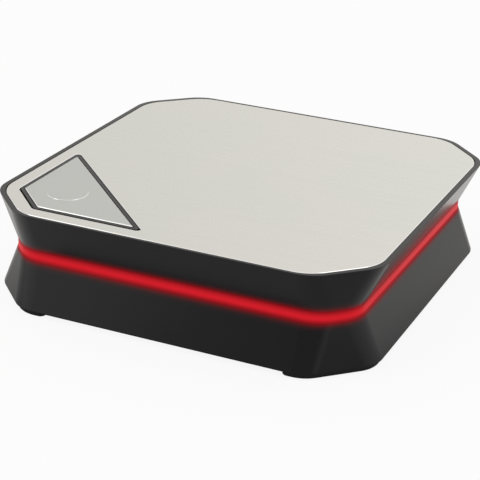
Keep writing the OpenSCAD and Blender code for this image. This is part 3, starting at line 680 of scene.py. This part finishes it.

# %% [markdown]
# Geometry Nodes, from tree to plain mesh
#
# What follows a path or repeats is made by Geometry Nodes. Each tree is built here with named
# inputs. A modifier takes the inputs by socket identifier, and the evaluated result is then turned
# into a plain mesh. A live modifier would be easier to change later, but this way the model holds
# real faces and no live tree.

# %% Helpers for Geometry Nodes


class Grower(Tree):
    """A Geometry Nodes tree with named inputs and one geometry output."""

    def __init__(self, name):
        self.group = bpy.data.node_groups.new(name, "GeometryNodeTree")
        super().__init__(self.group)
        self.identifiers = {}
        for side in ("OUTPUT", "INPUT"):
            self.group.interface.new_socket("Geometry", in_out=side, socket_type="NodeSocketGeometry")

    def ask(self, name, kind):
        socket = self.group.interface.new_socket(name, in_out="INPUT", socket_type=kind)
        self.identifiers[name] = socket.identifier

    def given(self, name):
        return self.node("NodeGroupInput", out=name)

    def close(self, geometry, slot):
        real = self.node("GeometryNodeRealizeInstances", sockets={"Geometry": geometry})
        sockets = {"Geometry": real, "Material": finishes[slot].material}
        finished = self.node("GeometryNodeSetMaterial", sockets=sockets)
        end = self.nodes.new("NodeGroupOutput")
        self.feed(end.inputs["Geometry"], finished)

    def grow(self, name, mesh, sizes):
        piece = bpy.data.objects.new(name, mesh)
        modifier = piece.modifiers.new(name, "NODES")
        modifier.node_group = self.group
        for label, value in sizes.items():
            modifier[self.identifiers[label]] = value
        bpy.context.scene.collection.objects.link(piece)
        evaluated = piece.evaluated_get(bpy.context.evaluated_depsgraph_get())
        grown = bpy.data.meshes.new_from_object(evaluated)
        piece.modifiers.clear()
        piece.data = grown
        return piece


print("geometry helpers ready")

# %% [markdown]
# The light band
#
# The diffuser is one profile swept round the waist: a face that fills the gap between the halves,
# and a lip that reaches behind each wall. It could be cut from slabs, as the CAD model does it.
# Here the profile is a small closed outline, and the tree draws the path from a rectangle. One
# fillet cuts its corners and a second one rounds the cuts, as on the case.

# %% Sweep the light band
waist_wide = 125.8 * mm
waist_deep = 128.5 * mm
waist_cut = 10.0 * mm
waist_round = 14.0 * mm
cut_steps = 1
round_steps = 12
band_half = (waist_high - waist_low) / 2
band_edge = 0.12 * mm
lip_outer = 2.1 * mm
lip_inner = 3.3 * mm
lip_reach = 1.2 * mm
lip_half = band_half + lip_reach

band_tree = Grower("swept_band")
for label in ("Width", "Depth", "Corner cut", "Corner round"):
    band_tree.ask(label, "NodeSocketFloat")
band_box = {"Width": band_tree.given("Width"), "Height": band_tree.given("Depth")}
band_path = band_tree.node("GeometryNodeCurvePrimitiveQuadrilateral", sockets=band_box)
for label, steps in (("Corner cut", cut_steps), ("Corner round", round_steps)):
    turn = {"Curve": band_path, "Radius": band_tree.given(label), "Count": steps}
    band_path = band_tree.node("GeometryNodeFilletCurve", {"mode": "POLY"}, turn)
profile_mesh = {"Mesh": band_tree.given("Geometry")}
band_profile = band_tree.node("GeometryNodeMeshToCurve", sockets=profile_mesh)
band_sweep = {"Curve": band_path, "Profile Curve": band_profile}
band_swept = band_tree.node("GeometryNodeCurveToMesh", sockets=band_sweep)
band_lift = {"Geometry": band_swept, "Translation": Vector((0, 0, waist_low + band_half))}
band_tree.close(band_tree.node("GeometryNodeTransform", sockets=band_lift), "red_diffuser")

band_outline = [
    (-band_edge, -band_half),
    (0, -band_half + band_edge),
    (0, band_half - band_edge),
    (-band_edge, band_half),
    (-lip_outer, band_half),
    (-lip_outer, lip_half),
    (-lip_inner, lip_half),
    (-lip_inner, -lip_half),
    (-lip_outer, -lip_half),
    (-lip_outer, -band_half),
]
band_count = len(band_outline)
band_links = [(k, (k + 1) % band_count) for k in range(band_count)]
band_mesh = bpy.data.meshes.new("band_outline")
band_mesh.from_pydata([(x, y, 0) for x, y in band_outline], band_links, [])
band_sizes = {"Width": waist_wide, "Depth": waist_deep}
band_sizes.update({"Corner cut": waist_cut, "Corner round": waist_round})
band_piece = band_tree.grow("light_band_swept", band_mesh, band_sizes)
shade_smooth(band_piece.data)
dress(band_piece, "case", "red_diffuser", "light_band")

# %% [markdown]
# The plate and the key's cap
#
# The plate is stamped from sheet, and its edge is cut bright, so its upper edges get a narrow bevel
# of a single step, which shows as one clear line. More steps would round the edge and lose the
# line. The cap has its bevel and its raised round thumb pad in the CAD model, and only the last
# sharpness is taken off them. That width is small because the wall of the pad is only 0.05 mm high.

# %% Plate and key cap
plate_top = 36.5 * mm
plate_bevel = 0.20 * mm
cap_bevel = 0.02 * mm

plate_shape = merged_copy("top_plate")
plate_picked = soften(plate_shape, plate_bevel, steps=1, chosen=at_height(plate_top))
plate_piece = make_piece("plate_sheet", plate_shape, "plate_metal")
dress(plate_piece, "case", "plate_metal", "top_plate")

cap_shape = merged_copy("key_cap")
cap_picked = soften(cap_shape, cap_bevel, steps=2, chosen=any_edge)
cap_piece = make_piece("key_face", cap_shape, "key_metal")
dress(cap_piece, "key", "key_metal", "key_cap")
print("bevelled metal edges:", plate_picked, cap_picked)

# %% [markdown]
# Feet and connector panel
#
# Four rubber feet wrap round the corners of the base, with soft moulded edges. The connector panel
# at the back is a flat moulding with a hole for each socket, and its hole edges are broken a
# little. Both could keep their CAD shape, but from low behind their edges catch the light.

# %% Feet and panel
foot_bevel = 0.35 * mm
panel_bevel = 0.12 * mm

for corner in ("front_left", "front_right", "rear_left", "rear_right"):
    foot_shape = merged_copy("foot_" + corner)
    soften(foot_shape, foot_bevel, steps=3, chosen=at_height(0.0))
    foot_piece = make_piece("rubber_foot_" + corner, foot_shape, "foot_rubber")
    dress(foot_piece, "case", "foot_rubber", "foot_" + corner)

panel_shape = merged_copy("rear_panel")
soften(panel_shape, panel_bevel, steps=2, chosen=any_edge)
panel_piece = make_piece("socket_panel", panel_shape, "black_plastic")
dress(panel_piece, "case", "black_plastic", "rear_panel")

# %% [markdown]
# Contacts in the sockets
#
# Each video and data socket has a plastic tongue with rows of gold contacts. One contact is a thin
# strip with a ramped tip, made as a mesh. A tree repeats it along a line, and a turn lays a row on
# the far face of the tongue. Copying the mesh in Python would do too, but the tree keeps the count
# and the pitch as inputs.

# %% One contact and the tree that repeats it
contact_thick = 0.06 * mm
contact_tip = 0.3 * contact_thick
contact_ramp = 0.5 * mm


def contact_mesh(width, length):
    half = width / 2
    ramp_start = (length - contact_ramp, contact_thick)
    side = [(0.0, 0.0), (0.0, contact_thick), ramp_start, (length, contact_tip), (length, 0.0)]
    points = [(sign * half, y, z) for sign in (-1, 1) for y, z in side]
    count = len(side)
    faces = [tuple(range(count)), tuple(reversed(range(count, 2 * count)))]
    for k in range(count):
        step = (k + 1) % count
        faces.append((step, k, k + count, step + count))
    mesh = bpy.data.meshes.new("contact")
    mesh.from_pydata(points, [], faces)
    shape = bmesh.new()
    shape.from_mesh(mesh)
    bmesh.ops.recalc_face_normals(shape, faces=shape.faces)
    shape.to_mesh(mesh)
    shape.free()
    return mesh


row_tree = Grower("contact_row")
row_tree.ask("Count", "NodeSocketInt")
for label in ("Start", "Step", "Turn"):
    row_tree.ask(label, "NodeSocketVector")
row_line = {"Count": row_tree.given("Count"), "Start Location": row_tree.given("Start")}
row_line["Offset"] = row_tree.given("Step")
row_points = row_tree.node("GeometryNodeMeshLine", {"mode": "OFFSET"}, row_line)
row_parts = {"Points": row_points, "Instance": row_tree.given("Geometry")}
row_parts["Rotation"] = row_tree.given("Turn")
row_tree.close(row_tree.node("GeometryNodeInstanceOnPoints", sockets=row_parts), "contact_gold")
print("contact row nodes:", len(row_tree.nodes))

# %% [markdown]
# Rows on the tongues
#
# A video socket has ten contacts on the upper face of its tongue and nine on the lower, and the
# data socket has five. The places could be typed in, but each row takes its middle and its depth
# from the box of its tongue, so it stays on it.

# %% Contact rows
tongue_half = 0.5 * mm
contact_back = 0.4 * mm
video_contact = {"pitch": 1.0 * mm, "width": 0.45 * mm, "length": 4.6 * mm}
data_contact = {"pitch": 0.8 * mm, "width": 0.40 * mm, "length": 4.0 * mm}


def contact_row(name, tongue, count, upper, pitch, width, length):
    low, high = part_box(tongue)
    middle = (low.x + high.x) / 2
    face = (low.z + high.z) / 2 + (tongue_half if upper else -tongue_half)
    first = middle - (count - 1) * pitch / 2
    sizes = {
        "Count": count,
        "Start": Vector((first, high.y - contact_back - length, face)),
        "Step": Vector((pitch, 0, 0)),
        "Turn": Vector((0, 0 if upper else math.pi, 0)),
    }
    piece = row_tree.grow(name, contact_mesh(width, length), sizes)
    dress(piece, "case", "socket_steel")


for side in ("in", "out"):
    tongue_name = "video_" + side + "_tongue"
    row_name = "video_" + side + "_contacts_"
    contact_row(row_name + "upper", tongue_name, count=10, upper=True, **video_contact)
    contact_row(row_name + "lower", tongue_name, count=9, upper=False, **video_contact)
contact_row("data_contacts", "data_tongue", count=5, upper=False, **data_contact)
